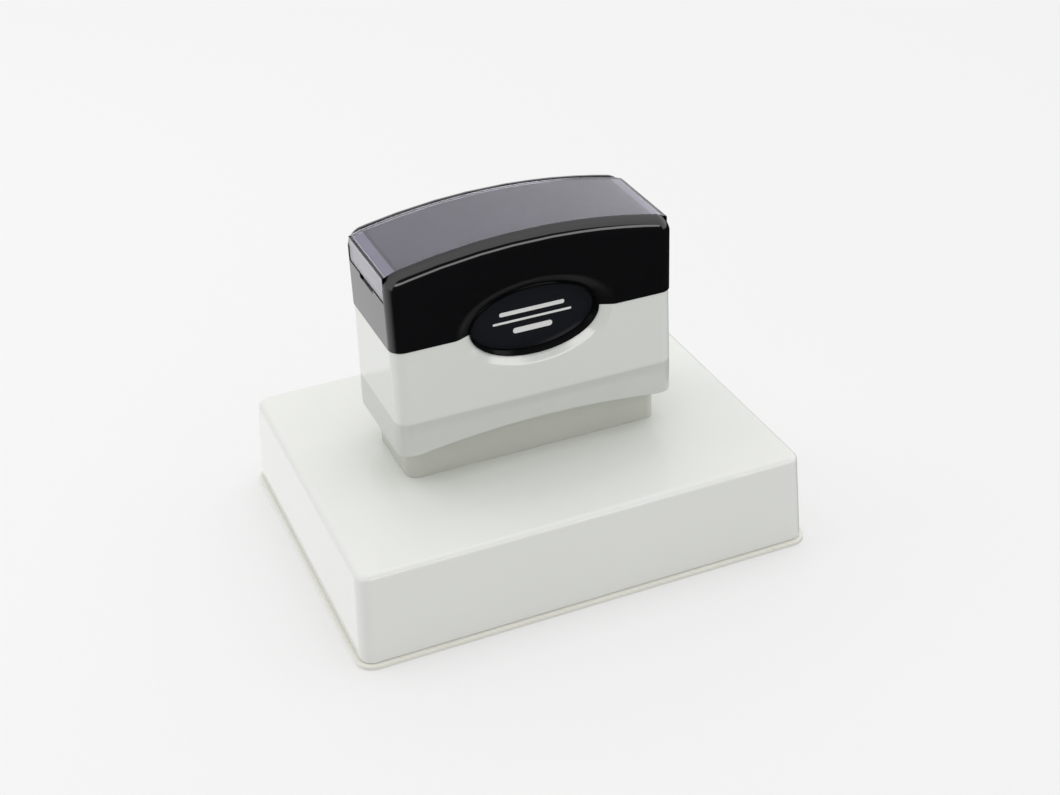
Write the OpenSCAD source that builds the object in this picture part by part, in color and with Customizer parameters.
// Pre-inked hand stamp with a large text plate.
// A sprung handle slides on a neck and presses an inked plate down through a wide housing.
// The stamp stands in a dust cover. Millimetres, +Z up, origin at the centre of the underside,
// +X along the length, -Y at the front.

/* [Housing] */
// Length of the housing at its rim
base_l = 120; // [100:1:150]
// Width of the housing at its rim
base_w = 93; // [78:1:125]
// Height of the housing from rim to roof
base_h = 24.2; // [22:0.2:30]
// Wall of the housing
base_wall = 2.2; // [1.6:0.1:3]
// Draft of the housing's sides in degrees
base_draft = 3; // [1:0.5:4]
// Corner radius of the housing seen from above
base_corner_r = 3.5; // [2.5:0.5:8]
// Radius of the housing's top edge
base_edge_r = 1.5; // [0.5:0.1:2.5]

/* [Dust cover] */
// How far the flange stands out past the housing
flange_lip = 1; // [0.6:0.1:3]
// Thickness of the flange
flange_t = 1.3; // [1.3:0.1:2.5]
// Thickness of the floor
cover_floor_t = 0.9; // [0.6:0.1:0.9]
// Thickness of the wall that stands inside the housing
cover_wall_t = 1; // [0.8:0.1:1.2]
// Height of that wall above the flange
cover_wall_h = 4.2; // [2:0.1:6]
// Gap between that wall and the housing
cover_fit = 0.15; // [0.1:0.05:0.4]
// Gap between the flange and the housing's rim
rim_gap = 0.2; // [0.1:0.05:0.4]

/* [Neck] */
// Length of the neck
neck_l = 68.8; // [66:0.2:84]
// Width of the neck
neck_w = 23.4; // [22:0.2:28]
// Wall of the neck
neck_wall = 1.8; // [1.2:0.1:2.5]
// Floor of the neck
neck_floor_t = 2.5; // [1.5:0.1:4]
// Corner radius of the neck
neck_corner_r = 3; // [2:0.5:5]

/* [Handle] */
// Sliding gap between the neck and the handle around it
slide_gap = 0.3; // [0.2:0.05:0.5]
// Wall of the handle's short ends
handle_end_wall = 2.4; // [1.6:0.1:3]
// Depth of the handle's long sides, dished front included, outside the neck
handle_side_depth = 4.45; // [4.2:0.05:5]
// Wall of the handle's long sides
handle_wall = 2; // [1.4:0.1:2.5]
// Corner radius of the handle
handle_corner_r = 3.6; // [2:0.1:3.8]
// How far the skirt is set in from the cap
skirt_step = 0.2; // [0:0.05:0.4]
// Gap under the skirt's ends, above the housing
skirt_gap = 10.1; // [8:0.1:16]
// Height of the arch along the skirt's lower edge
skirt_arch_h = 2.3; // [1:0.1:4]
// Length of that arch
skirt_arch_l = 64; // [40:1:66]
// Height of the skirt at its ends
skirt_h = 28.8; // [26:0.2:34]
// Draft of the skirt's sides in degrees, wider at the bottom
skirt_draft = 0.8; // [0:0.1:1.5]
// Height of the cap from its seam to the top of its arch
cap_h = 23.7; // [21:0.1:28]
// Rise of the arched top over the handle's length
cap_rise = 4.4; // [2:0.1:6]
// Radius of the cap's top corners, seen from the side
cap_corner_r = 5; // [4:0.5:7]
// Thickness of the cap's cheeks on each side of the window
cheek_t = 3.5; // [2.5:0.1:4.5]
// Length of the collar that joins the skirt to the cap
collar_h = 4; // [2:0.5:6]

/* [Window] */
// Thickness of the clear window
window_t = 1.2; // [0.8:0.1:1.6]
// How far the window lies below the cheeks
window_drop = 0.2; // [0:0.1:0.8]
// Length of the bevel where the window turns down at each end
window_bevel = 3; // [1:0.1:4]
// Height of that bevel
window_bevel_h = 1.1; // [0.6:0.1:2]
// Height of the window's ends above the seam
window_ledge = 12.2; // [9:0.1:14]
// Gap between the window and the cheeks
window_fit = 0.12; // [0.05:0.01:0.3]
// Thickness of the index card
card_t = 0.3; // [0.2:0.05:0.5]
// Width of the nail notch under the window
notch_w = 10; // [6:1:14]
// Height of the nail notch
notch_h = 1; // [0.6:0.1:1.6]
// Depth of the nail notch
notch_depth = 1; // [0.5:0.1:1.4]

/* [Badge] */
// Length of the oval bezel
bezel_l = 34.2; // [28:0.2:38]
// Height of the oval bezel
bezel_h = 18.5; // [15:0.1:19]
// Width of the dished ring at the ends of the bezel
dish_ring = 3.6; // [2:0.2:4]
// Width of the dished ring above and below the bezel
dish_ring_h = 2.4; // [1.6:0.2:3.6]
// Depth of the dish
dish_depth = 1.6; // [1:0.1:1.8]
// How far the bezel's rim stands out of the dish
bezel_proud = 0.6; // [0.2:0.1:0.8]
// Width of the bezel's rim
bezel_rim = 0.6; // [0.5:0.1:1.2]
// Depth of the badge pocket
pocket_depth = 2.7; // [2:0.1:2.7]
// Thickness of the badge
badge_t = 0.5; // [0.4:0.1:0.8]
// Height of the oval's centre above the seam
badge_rise = 0.2; // [0:0.1:3]

/* [Plate and carrier] */
// Gap between the plate frame and the housing's inside at the rim
frame_gap = 2.8; // [2.6:0.1:6]
// Wall of the plate frame
frame_wall = 1.2; // [1:0.1:1.6]
// Width of the frame's lip past the carrier's wall
frame_lip = 2.3; // [1.9:0.1:3]
// Thickness of that lip
frame_lip_t = 0.8; // [0.6:0.1:1]
// Wall of the carrier around the ink pad
carrier_wall = 1.4; // [1:0.1:2]
// Thickness of the carrier's plate
carrier_t = 2.4; // [2:0.1:4]
// Height of the carrier's stiffening ribs
carrier_rib_h = 2.2; // [1:0.1:2.4]
// Thickness of the ink pad
pad_t = 3.2; // [2:0.1:5]
// Thickness of the text plate's edge
plate_edge_t = 1.2; // [0.8:0.1:2]
// Height of the text plate's printing face above its edge
plate_face_t = 1.6; // [1.2:0.1:2.5]
// Travel of the handle
stroke = 3.8; // [2.8:0.1:5]
// How far the printing face passes the rim when the handle is pressed right down
print_depth = 0.2; // [0:0.05:0.3]

/* [Plunger and springs] */
// Length of the plunger's stem
stem_l = 26; // [20:1:28]
// Width of the stem
stem_w = 12; // [10:1:14]
// Gap round the stem
stem_gap = 0.8; // [0.4:0.1:1.2]
// Thickness of the plunger's head
head_t = 3; // [2:0.1:4]
// How far the head's top lies below the seam
head_drop = 2; // [1:0.5:4]
// Outer diameter of a spring
spring_d = 9; // [7:0.5:10]
// Diameter of the spring wire
wire_d = 0.9; // [0.6:0.1:1.2]
// Turns of a spring
spring_turns = 7; // [5:1:9]

/* [Screws] */
// Diameter of the screws' shanks
screw_d = 2.6; // [2:0.1:3]
// Diameter of the screws' heads
screw_head_d = 5.2; // [4:0.1:5.6]
// Height of the screws' heads
screw_head_h = 1.8; // [1.2:0.1:2]
// Gap round a screw in its pilot bore
screw_fit = 0.05; // [0.02:0.01:0.1]
// Diameter of the bosses that the screws bite into
boss_d = 6; // [5:0.5:7]
// Diameter of a levelling screw's shank
level_d = 4; // [3:0.5:4]
// Diameter of a levelling screw's foot
level_foot_d = 5.8; // [5:0.1:6]
// Height of that foot
level_foot_h = 2; // [1.5:0.1:3]
// Diameter of the boss that holds a levelling screw
level_boss_d = 6; // [5.4:0.1:6.4]
// Distance of the levelling screws from the housing's inside, at the rim
level_inset = 5.4; // [5.2:0.1:8]

/* [Hidden] */
$fn = 48;
eps = 0.01;          // overlap that joins two pieces of one solid
over = 1;            // how far a cutting shape runs past what it cuts
part_gap = 0.05;     // clearance where two loose pieces lie face to face
oval_fn = 72;        // sides of the oval outlines
hull_fn = 32;        // sides of the circles inside a hull
sides = [-1, 1];

// Heights, from the ground up
rim_z = flange_t + rim_gap;
roof_z = rim_z + base_h;
roof_under_z = roof_z - base_wall;
face_z = rim_z + stroke - print_depth;
edge_z = face_z + plate_face_t;
pad_z = edge_z + plate_edge_t;
carrier_z = pad_z + pad_t;
carrier_top_z = carrier_z + carrier_t;
skirt_z = roof_z + skirt_gap;
seam_z = skirt_z + skirt_h;
cap_top_z = seam_z + cap_h;
head_top_z = seam_z - head_drop;
head_z = head_top_z - head_t;
neck_top_z = head_z - stroke - 0.1;
neck_floor_z = roof_z + neck_floor_t;
ledge_z = seam_z + window_ledge;
badge_z = seam_z + badge_rise;

// Handle outline: the neck, the sliding gap and the walls
cap_l = neck_l + 2 * (slide_gap + handle_end_wall);
cap_w = neck_w + 2 * (slide_gap + handle_side_depth);
skirt_l = cap_l - 2 * skirt_step;
skirt_w = cap_w - 2 * skirt_step;
collar_l = neck_l + 2 * slide_gap + 2.4;
collar_w = skirt_w - 2 * handle_wall + 1.8;
collar_fit = 0.15;   // gap between the collar and the cap
side_inner_y = neck_w / 2 + slide_gap + 0.2;   // innermost face of the thick parts of the sides
arch_r = (pow(cap_l / 2, 2) + pow(cap_rise, 2)) / (2 * cap_rise);

// Plate frame, set in from the housing
frame_l = base_l - 2 * (base_wall + frame_gap);
frame_w = base_w - 2 * (base_wall + frame_gap);

// Levelling screws, one in each corner
level_x = base_l / 2 - base_wall - level_inset;
level_y = base_w / 2 - base_wall - level_inset;
level_notch_r = level_boss_d / 2 + 0.5;
level_boss_z = rim_z + level_foot_h + 0.6;
level_top_z = roof_under_z - 5.5;
level_fit = 0.05;

// Guide posts between the carrier and the housing
guide_x = level_x - 14;
guide_y = level_y - 12.5;
guide_d = 4.8;
guide_gap = 0.1;
guide_collar_d = 8;
guide_collar_h = 2.5;
guide_sleeve_z = carrier_top_z + guide_collar_h + 0.1;

// Screw places
neck_screw_x = neck_l / 2 - neck_wall - boss_d / 2 - 0.4;
neck_screw_y = neck_w / 2 - neck_wall - boss_d / 2 - 0.4;
head_screw_x = neck_l / 2 - neck_wall - screw_head_d / 2 - 1.2;
spring_x = (stem_l / 2 + stem_gap + head_screw_x - screw_head_d / 2) / 2;
carrier_screw_x = stem_l / 2 - 4;

// What the window, the card and their fits take out of the cap's top
platform_inset = window_drop + window_t + card_t + 2 * part_gap;
head_boss_top_z = cap_top_z - pow(head_screw_x, 2) / (2 * arch_r) - platform_inset - 1;

// Details
pad_block = [stem_l + 8, stem_w + 8];
recess_h = screw_head_h + 0.1;
boss_h = 9;
rib_t = 1.6;
pin_h = 3;
plate_edge_inset = frame_wall + 0.2 + carrier_wall + 0.3;
plate_face_inset = frame_wall + frame_lip + 1.5;
lip_inset = plate_face_inset - 0.3;

// ---- shared shapes ----

// A rectangle with round corners, as true arcs
module round_rect(l, w, r) {
    square([l - 2 * r, w], center = true);
    square([l, w - 2 * r], center = true);
    for (sx = sides, sy = sides)
        translate([sx * (l / 2 - r), sy * (w / 2 - r)]) circle(r);
}

// A plate or block with round corners, standing on z
module block(l, w, h, r, z = 0) {
    translate([0, 0, z]) linear_extrude(h) round_rect(l, w, r);
}

// A solid with drafted sides: l by w at z0, narrower by inset on each side at z1
module drafted(l, w, r, z0, z1, inset, edge = 0) {
    top_r = max(r - inset, edge + 0.2, 0.4);
    hull() {
        for (sx = sides, sy = sides) {
            translate([sx * (l / 2 - r), sy * (w / 2 - r), z0])
                cylinder(r = r, h = eps, $fn = hull_fn);
            translate([sx * (l / 2 - inset - top_r), sy * (w / 2 - inset - top_r), z1 - edge])
                rotate_extrude($fn = hull_fn) rounded_disc(top_r, edge);
        }
    }
}

// Half section of a disc whose upper edge is rounded
module rounded_disc(r, edge) {
    translate([0, -eps]) square([r, eps]);
    if (edge > 0) {
        square([r - edge, edge]);
        intersection() {
            translate([r - edge, 0]) circle(edge, $fn = hull_fn);
            square([r, edge]);
        }
    }
}

function oval_points(l, h) = [
    for (i = [0:oval_fn - 1])
        let (a = 360 * i / oval_fn) [l / 2 * cos(a), h / 2 * sin(a)]
];

// An oval prism through the side of the handle, from y0 outwards to y1, on the side given
module oval_prism(l, h, y0, y1, side) {
    translate([0, side * (side > 0 ? y1 : y0), badge_z]) rotate([90, 0, 0])
        linear_extrude(y1 - y0) polygon(oval_points(l, h));
}

// An oval funnel from a narrow end at y0 out to a mouth at y1, wider by ring at its ends and
// by ring_h above and below
module oval_funnel(l, h, ring, ring_h, y0, y1, side) {
    hull() {
        oval_prism(l, h, y0, y0 + eps, side);
        oval_prism(l + 2 * ring, h + 2 * ring_h, y1 - eps, y1, side);
    }
}

// Outline shared by the frame, carrier, pad and plate: a rectangle with its corners notched
// to stand clear of the levelling screws, taken in by inset all round
module plate_outline(inset) {
    r = level_notch_r + inset;
    far = level_inset + r + over;
    difference() {
        square([frame_l - 2 * inset, frame_w - 2 * inset], center = true);
        for (sx = sides, sy = sides) translate([sx * level_x, sy * level_y]) {
            circle(r);
            translate([sx > 0 ? 0 : -far, sy > 0 ? -r : r - far]) square(far);
            translate([sx > 0 ? -r : r - far, sy > 0 ? 0 : -far]) square(far);
        }
    }
}

// The arched side view of the handle's top, taken in by inset
module arch_side(inset, low_z) {
    top = cap_top_z - inset;
    intersection() {
        translate([0, cap_top_z - arch_r]) circle(arch_r - inset, $fn = 256);
        translate([-cap_l / 2 + inset, low_z]) square([cap_l - 2 * inset, top - low_z]);
    }
}

// The same with bevelled upper corners, as the window and what lies under it have
module bevel_side(inset, low_z) {
    half = cap_l / 2 - inset;
    fold = half - window_bevel;
    fold_z = cap_top_z - arch_r + sqrt(pow(arch_r - inset, 2) - pow(fold, 2));
    intersection() {
        arch_side(inset, low_z);
        polygon([
            [-half, low_z], [half, low_z], [half, fold_z - window_bevel_h],
            [fold, fold_z], [fold, cap_top_z], [-fold, cap_top_z], [-fold, fold_z],
            [-half, fold_z - window_bevel_h]
        ]);
    }
}

// Extrudes a side view across the handle's width
module across(w) {
    translate([0, w / 2, 0]) rotate([90, 0, 0]) linear_extrude(w) children();
}

// A pan-head screw with its point up; the head's top is at z
module screw(z, length) {
    difference() {
        union() {
            translate([0, 0, z - screw_head_h]) cylinder(d = screw_head_d, h = screw_head_h);
            translate([0, 0, z - eps]) cylinder(d = screw_d, h = length - screw_d / 2);
            translate([0, 0, z - eps + length - screw_d / 2])
                cylinder(d1 = screw_d, d2 = screw_d / 3, h = screw_d / 2);
        }
        for (a = [0, 90])
            rotate([0, 0, a]) translate([-1.4, -0.35, z - screw_head_h - over])
                cube([2.8, 0.7, over + 1]);
    }
}

// ---- dust cover ----

module dust_cover() {
    wall_inset = cover_fit + cover_wall_h * tan(base_draft);
    wall_l = base_l - 2 * (base_wall + wall_inset);
    wall_w = base_w - 2 * (base_wall + wall_inset);
    wall_r = max(base_corner_r - base_wall, 1);
    color("ivory") difference() {
        union() {
            block(base_l + 2 * flange_lip, base_w + 2 * flange_lip, flange_t,
                base_corner_r + flange_lip, 0);
            block(wall_l, wall_w, rim_z + cover_wall_h, wall_r, 0);
        }
        block(wall_l - 2 * cover_wall_t, wall_w - 2 * cover_wall_t,
            rim_z + cover_wall_h, max(wall_r - cover_wall_t / 2, 0.6), cover_floor_t);
    }
}

// ---- housing, neck and their screws ----

module level_places() {
    for (sx = sides, sy = sides) translate([sx * level_x, sy * level_y, 0]) children();
}

module guide_places() {
    for (sx = sides, sy = sides) translate([sx * guide_x, sy * guide_y, 0]) children();
}

module neck_screw_places() {
    for (sx = sides, sy = sides)
        translate([sx * neck_screw_x, sy * neck_screw_y, 0]) children();
}

module base_housing() {
    inset = base_h * tan(base_draft);
    inner_inset = (base_h - base_wall) * tan(base_draft);
    color("whitesmoke") difference() {
        union() {
            difference() {
                drafted(base_l, base_w, base_corner_r, rim_z, roof_z, inset, base_edge_r);
                drafted(base_l - 2 * base_wall, base_w - 2 * base_wall,
                    max(base_corner_r - base_wall, 1), rim_z - eps, roof_under_z, inner_inset);
            }
            level_places() translate([0, 0, level_boss_z])
                cylinder(d = level_boss_d, h = roof_under_z - level_boss_z + eps);
            guide_places() translate([0, 0, guide_sleeve_z])
                cylinder(d = guide_d + 3.2, h = roof_under_z - guide_sleeve_z + eps);
            roof_ribs();
        }
        level_places() translate([0, 0, level_boss_z - over])
            cylinder(d = level_d + 2 * level_fit, h = level_top_z + 1 - level_boss_z + over);
        guide_places() translate([0, 0, guide_sleeve_z - over])
            cylinder(d = guide_d + 2 * guide_gap, h = roof_under_z - guide_sleeve_z + over);
        neck_screw_places() translate([0, 0, roof_under_z - over])
            cylinder(d = screw_d + 0.4, h = base_wall + 2 * over);
        block(stem_l + 2 * stem_gap, stem_w + 2 * stem_gap, base_wall + 2 * over, 2,
            roof_under_z - over);
    }
}

// Ribs under the roof, clear of the stem and the neck screws
module roof_ribs() {
    rib_h = 3.5;
    rib_x = guide_x - guide_d;
    for (sy = sides) {
        y = (stem_w / 2 + stem_gap + guide_y) / 2 + 4;
        translate([-rib_x, sy * y - rib_t / 2, roof_under_z - rib_h])
            cube([2 * rib_x, rib_t, rib_h + eps]);
    }
    for (sx = sides)
        translate([sx * (guide_x + 2) - rib_t / 2, -guide_y + 3, roof_under_z - rib_h])
            cube([rib_t, 2 * (guide_y - 3), rib_h + eps]);
}

module neck_frame() {
    color("darkgray") difference() {
        union() {
            difference() {
                block(neck_l, neck_w, neck_top_z - roof_z, neck_corner_r, roof_z);
                block(neck_l - 2 * neck_wall, neck_w - 2 * neck_wall, neck_top_z,
                    neck_corner_r - neck_wall, neck_floor_z);
            }
            neck_screw_places() translate([0, 0, roof_z])
                cylinder(d = boss_d, h = neck_floor_t + boss_h);
            for (sx = sides) translate([sx * spring_x, 0, neck_floor_z - eps])
                cylinder(d = spring_d - 2 * wire_d - 0.8, h = pin_h);
        }
        neck_screw_places() translate([0, 0, roof_z - over])
            cylinder(d = screw_d + 2 * screw_fit, h = neck_floor_t + boss_h - 1 + over);
        block(stem_l + 2 * stem_gap, stem_w + 2 * stem_gap, neck_floor_t + 2 * over, 2,
            roof_z - over);
    }
}

module neck_screws() {
    color("silver") neck_screw_places()
        screw(roof_under_z - part_gap, base_wall + neck_floor_t + boss_h - 3);
}

module levelling_screw(sx, sy) {
    color("dimgray") translate([sx * level_x, sy * level_y, 0]) difference() {
        union() {
            translate([0, 0, rim_z]) cylinder(d = level_foot_d, h = level_foot_h);
            translate([0, 0, rim_z + level_foot_h - eps])
                cylinder(d = level_d, h = level_top_z - rim_z - level_foot_h);
        }
        translate([-level_foot_d, -0.5, rim_z - over]) cube([2 * level_foot_d, 1, over + 1]);
    }
}

// ---- handle ----

module skirt_tube() {
    flare = skirt_h * tan(skirt_draft);
    difference() {
        drafted(skirt_l + 2 * flare, skirt_w + 2 * flare, handle_corner_r, skirt_z, seam_z, flare);
        block(neck_l + 2 * slide_gap, skirt_w - 2 * handle_wall, skirt_h + 2 * over,
            neck_corner_r + slide_gap, skirt_z - over);
    }
}

// The collar that stands up inside the cap
module skirt_collar() {
    difference() {
        block(collar_l, collar_w, collar_h + 1, neck_corner_r + 0.6, seam_z - 1);
        block(collar_l - 2.4, collar_w - 2, collar_h + 4, neck_corner_r, seam_z - 2);
        for (side = sides) thick_side(side, bezel_l + 2 * dish_ring + 4, 0.2);
    }
}

// The thick part of a long side behind the dish
module thick_side(side, l, grow = 0) {
    oval_prism(l + 2 * grow, bezel_h + 2 * dish_ring_h + 3 + 2 * grow,
        side_inner_y - grow, cap_w / 2 - skirt_step - 0.5, side);
}

module handle_skirt() {
    arch_cut_r = (pow(skirt_arch_l / 2, 2) + pow(skirt_arch_h, 2)) / (2 * skirt_arch_h);
    color("gainsboro") difference() {
        union() {
            skirt_tube();
            intersection() {
                union() for (side = sides) thick_side(side, bezel_l + 2 * dish_ring + 3);
                translate([-skirt_l / 2, -skirt_w / 2, skirt_z]) cube([skirt_l, skirt_w, skirt_h]);
            }
            guide_ribs();
            skirt_collar();
        }
        translate([0, 0, skirt_z + skirt_arch_h - arch_cut_r]) rotate([90, 0, 0])
            cylinder(r = arch_cut_r, h = skirt_w + 2 * over, center = true, $fn = 256);
        for (side = sides) {
            oval_prism(bezel_l, bezel_h, side_inner_y - over, cap_w / 2 + over, side);
            dish(side);
        }
    }
}

// Vertical ribs that keep the skirt square on the neck
module guide_ribs() {
    y0 = neck_w / 2 + slide_gap;
    y1 = skirt_w / 2 - handle_wall + 0.2;
    for (sx = sides, sy = sides)
        translate([sx * (neck_l / 2 - 8) - rib_t / 2, sy > 0 ? y0 : -y1, skirt_z + skirt_arch_h])
            cube([rib_t, y1 - y0, skirt_h - skirt_arch_h - 1]);
}

// The dished ring round an oval, cut through cap and skirt alike
module dish(side) {
    y0 = cap_w / 2 - dish_depth;
    oval_funnel(bezel_l, bezel_h, dish_ring * 1.06, dish_ring_h * 1.06, y0, cap_w / 2 + 0.1, side);
}

// Points of the cap's side view, taken in by inset: arch, rounded ends, straight foot
function cap_points(inset) =
    let (cx = cap_l / 2 - cap_corner_r, arch_z = cap_top_z - arch_r,
        a1 = asin(cx / (arch_r - cap_corner_r)),
        cz = arch_z + (arch_r - cap_corner_r) * cos(a1),
        r = cap_corner_r - inset, n = 16, m = 7)
    concat(
        [for (k = [-n:n])
            let (a = a1 * k / n) [(arch_r - inset) * sin(a), arch_z + (arch_r - inset) * cos(a)]],
        [for (k = [1:m]) let (a = a1 + (90 - a1) * k / m) [cx + r * sin(a), cz + r * cos(a)]],
        [[cap_l / 2 - inset, seam_z], [-cap_l / 2 + inset, seam_z]],
        [for (k = [1:m]) let (a = 90 - (90 - a1) * (k - 1) / m)
            [-cx - r * sin(a), cz + r * cos(a)]]
    );

// The cap's outside: side views laid across the width, set in towards the front and back
module cap_outer() {
    r = handle_corner_r;
    hull() for (side = sides, a = [0:15:90])
        translate([0, side * (cap_w / 2 - r + (r - eps) * sin(a)), 0]) rotate([90, 0, 0])
            linear_extrude(eps, center = true) polygon(cap_points(r * (1 - cos(a))));
}

module cap_cavity() {
    wall = platform_inset + 1.6;
    intersection() {
        block(cap_l - 2 * wall, cap_w - 2 * handle_wall, cap_h, 2, seam_z - over);
        across(cap_w) arch_side(platform_inset + handle_wall, seam_z - over);
    }
    block(collar_l + 2 * collar_fit, collar_w + 2 * collar_fit, collar_h + over + 0.2,
        neck_corner_r + 0.6 + collar_fit, seam_z - over);
}

module window_recess() {
    difference() {
        translate([-cap_l / 2 - over, -cap_w / 2 + cheek_t, ledge_z])
            cube([cap_l + 2 * over, cap_w - 2 * cheek_t, cap_h]);
        across(cap_w) bevel_side(platform_inset, seam_z);
    }
    for (sx = sides)
        translate([sx > 0 ? cap_l / 2 - notch_depth : -cap_l / 2 - over, -notch_w / 2,
            ledge_z - notch_h]) cube([notch_depth + over, notch_w, notch_h + over]);
}

module head_screw_places() {
    for (sx = sides) translate([sx * head_screw_x, 0, 0]) children();
}

module handle_cap() {
    bezel_y = cap_w / 2 - dish_depth + bezel_proud;
    color("black") difference() {
        union() {
            difference() {
                union() {
                    difference() {
                        cap_outer();
                        cap_cavity();
                    }
                    intersection() {
                        union() for (side = sides) thick_side(side, bezel_l + 2 * dish_ring + 3);
                        translate([-cap_l / 2, -cap_w / 2, seam_z]) cube([cap_l, cap_w, cap_h - 6]);
                    }
                }
                for (side = sides) dish(side);
            }
            for (side = sides)
                oval_prism(bezel_l - 0.2, bezel_h - 0.2, side_inner_y, bezel_y, side);
            head_screw_places() translate([0, 0, head_top_z + part_gap])
                cylinder(d = boss_d, h = head_boss_top_z - head_top_z - part_gap);
        }
        window_recess();
        for (side = sides) badge_pocket(side);
        head_screw_places() translate([0, 0, head_top_z - over])
            cylinder(d = screw_d + 2 * screw_fit, h = boss_h + over);
    }
}

// The pocket that the badge sits in, with a sloping rim
module badge_pocket(side) {
    y1 = cap_w / 2 - dish_depth + bezel_proud;
    y0 = y1 - pocket_depth;
    l = bezel_l - 0.2 - 2 * bezel_rim;
    h = bezel_h - 0.2 - 2 * bezel_rim;
    oval_funnel(l, h, bezel_rim * 0.6, bezel_rim * 0.6, y0 + badge_t, y1 + eps, side);
    oval_prism(l, h, y0, y1, side);
}

module badge(side) {
    y0 = cap_w / 2 - dish_depth + bezel_proud - pocket_depth + part_gap;
    color("black") oval_prism(bezel_l - 0.2 - 2 * bezel_rim - 0.2, bezel_h - 0.2 - 2 * bezel_rim - 0.2,
        y0, y0 + badge_t, side);
}

// ---- window and card ----

module index_window() {
    w = cap_w - 2 * cheek_t - 2 * window_fit;
    color("lightsteelblue", 0.4) difference() {
        across(w) bevel_side(window_drop, ledge_z + part_gap);
        across(w + 2 * over) bevel_side(window_drop + window_t, ledge_z - over);
    }
}

module index_card() {
    w = cap_w - 2 * cheek_t - 1;
    inset = window_drop + window_t + part_gap;
    color("slategray") difference() {
        across(w) bevel_side(inset, ledge_z + 0.3);
        across(w + 2 * over) bevel_side(inset + card_t, ledge_z - over);
    }
}

// ---- plunger and springs ----

module plunger() {
    color("gainsboro") difference() {
        union() {
            block(neck_l - 1, neck_w - 1, head_t, neck_corner_r, head_z);
            block(stem_l, stem_w, head_z - carrier_top_z - 2 * part_gap - 3 + eps, 1.5,
                carrier_top_z + 3 + 2 * part_gap);
            for (sx = sides) translate([sx * spring_x, 0, head_z - pin_h])
                cylinder(d = spring_d - 2 * wire_d - 0.8, h = pin_h + eps);
        }
        head_screw_places() translate([0, 0, head_z - over])
            cylinder(d = screw_d + 0.4, h = head_t + 2 * over);
        for (sx = sides) translate([sx * carrier_screw_x, 0, carrier_top_z])
            cylinder(d = screw_d + 2 * screw_fit, h = boss_h + 3);
        // cored out between the two screw columns
        block(stem_l - 16, stem_w - 4, head_z - carrier_top_z - 2 * boss_h, 1,
            carrier_top_z + 2 * boss_h - over);
    }
}

module plunger_screws() {
    color("silver") head_screw_places() screw(head_z - part_gap, head_t + boss_h - 2);
}

// A spring as one tube swept along a helix, flat at both ends
function spring_height(z0, z1, t) = z0 + wire_d / 2 + (z1 - z0 - wire_d) * t;

module spring(x, z0, z1) {
    steps_per_turn = 14;
    tube_sides = 8;
    steps = spring_turns * steps_per_turn;
    r = (spring_d - wire_d) / 2;
    // the first and last turns lie almost closed, as ground ends do
    closed = 1 / spring_turns;
    function rise(t) = t < closed ? t * 0.15 / closed * wire_d * 6 / (z1 - z0)
        : t > 1 - closed ? 1 - (1 - t) * 0.15 / closed * wire_d * 6 / (z1 - z0)
        : let (e = 0.15 * wire_d * 6 / (z1 - z0)) e + (t - closed) / (1 - 2 * closed) * (1 - 2 * e);
    points = [
        for (i = [0:steps], k = [0:tube_sides - 1])
            let (t = i / steps, a = 360 * spring_turns * t, b = 360 * k / tube_sides,
                rr = r + wire_d / 2 * cos(b))
            [x + rr * cos(a), rr * sin(a), spring_height(z0, z1, rise(t)) + wire_d / 2 * sin(b)]
    ];
    walls = [
        for (i = [0:steps - 1], k = [0:tube_sides - 1])
            let (a = i * tube_sides + k, b = i * tube_sides + (k + 1) % tube_sides)
            [a, a + tube_sides, b + tube_sides, b]
    ];
    last = steps * tube_sides;
    ends = [
        [for (k = [0:tube_sides - 1]) k],
        [for (k = [0:tube_sides - 1]) last + tube_sides - 1 - k]
    ];
    color("silver") polyhedron(points, concat(walls, ends));
}

module return_spring(side) {
    spring(side * spring_x, neck_floor_z + part_gap, head_z - part_gap);
}

// ---- carrier, pad, plate and frame ----

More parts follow.
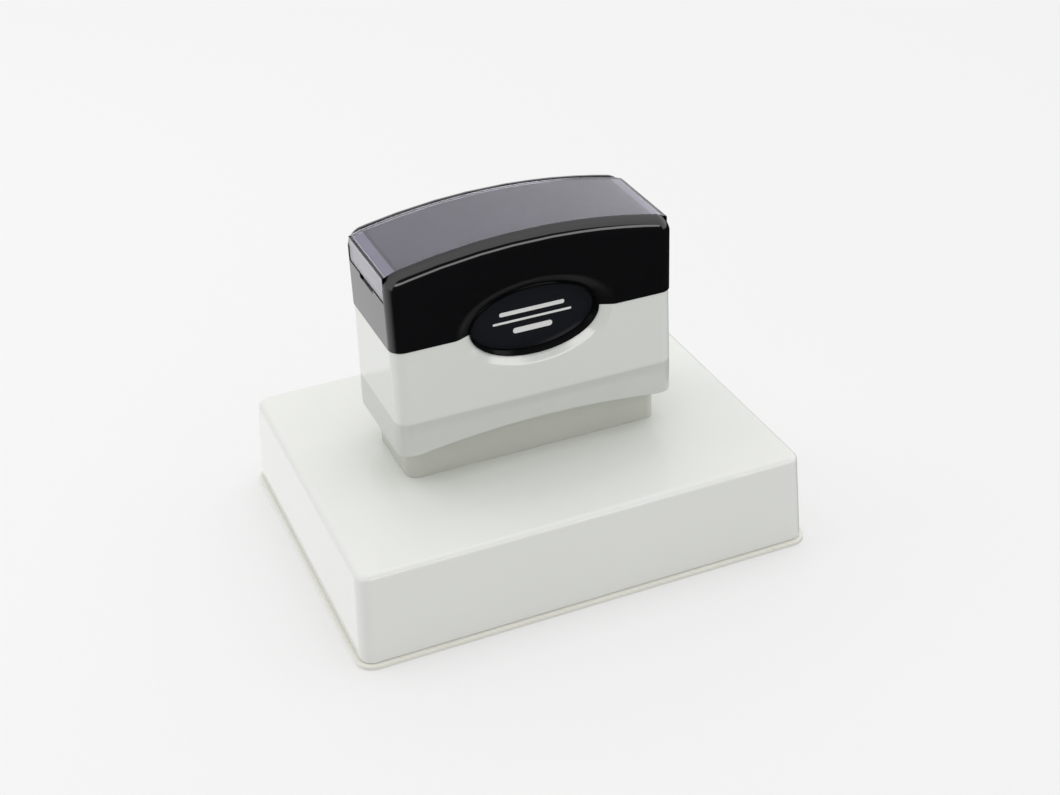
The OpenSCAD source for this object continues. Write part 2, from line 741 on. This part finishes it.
module die_carrier() {
    color("gainsboro") difference() {
        union() {
            translate([0, 0, carrier_z]) linear_extrude(carrier_t)
                plate_outline(frame_wall + 0.2);
            translate([0, 0, edge_z + 0.4]) linear_extrude(carrier_z - edge_z - 0.4 + eps)
                difference() {
                    plate_outline(frame_wall + 0.2);
                    plate_outline(frame_wall + 0.2 + carrier_wall);
                }
            block(pad_block[0], pad_block[1], 3 + eps, 3, carrier_top_z - eps);
            carrier_ribs();
            guide_places() {
                translate([0, 0, carrier_top_z - eps])
                    cylinder(d = guide_collar_d, h = guide_collar_h);
                translate([0, 0, carrier_top_z])
                    cylinder(d = guide_d, h = roof_under_z - 1 - carrier_top_z);
            }
        }
        for (sx = sides) translate([sx * carrier_screw_x, 0, carrier_z - over]) {
            cylinder(d = screw_head_d + 0.4, h = recess_h + over);
            cylinder(d = screw_d + 0.4, h = carrier_t + 3 + 2 * over);
        }
    }
}

module carrier_ribs() {
    reach_x = frame_l / 2 - frame_wall - 1;
    reach_y = frame_w / 2 - frame_wall - 1;
    for (sy = sides) translate([-reach_x, sy * 9 - rib_t / 2, carrier_top_z - eps])
        cube([2 * reach_x, rib_t, carrier_rib_h]);
    for (x = [-26, 26]) translate([x - rib_t / 2, -reach_y, carrier_top_z - eps])
        cube([rib_t, 2 * reach_y, carrier_rib_h]);
}

module carrier_screws() {
    color("silver") for (sx = sides) translate([sx * carrier_screw_x, 0, 0])
        screw(carrier_z + recess_h - part_gap, boss_h + 3);
}

module ink_pad() {
    color("midnightblue") translate([0, 0, pad_z + part_gap])
        linear_extrude(pad_t - 2 * part_gap) plate_outline(plate_edge_inset);
}

module text_plate() {
    color("dimgray") union() {
        translate([0, 0, edge_z]) linear_extrude(plate_edge_t)
            plate_outline(plate_edge_inset);
        translate([0, 0, face_z]) linear_extrude(plate_face_t + eps)
            plate_outline(plate_face_inset);
    }
}

module plate_frame() {
    lip_z = edge_z - part_gap - frame_lip_t;
    color("gray") difference() {
        translate([0, 0, lip_z]) linear_extrude(carrier_z + 1 - lip_z) plate_outline(0);
        translate([0, 0, lip_z + frame_lip_t]) linear_extrude(carrier_z)
            plate_outline(frame_wall);
        translate([0, 0, lip_z - over]) linear_extrude(frame_lip_t + 2 * over)
            plate_outline(lip_inset);
    }
}

dust_cover();
base_housing();
neck_frame();
neck_screws();
levelling_screw(-1, -1);  // levelling_screw_front_left
levelling_screw(1, -1);  // levelling_screw_front_right
levelling_screw(-1, 1);  // levelling_screw_back_left
levelling_screw(1, 1);  // levelling_screw_back_right
handle_skirt();
handle_cap();
badge(-1);  // front_badge
badge(1);  // back_badge
plunger();
plunger_screws();
return_spring(-1);  // return_spring_left
return_spring(1);  // return_spring_right
die_carrier();
carrier_screws();
ink_pad();
text_plate();
plate_frame();
index_window();
index_card();
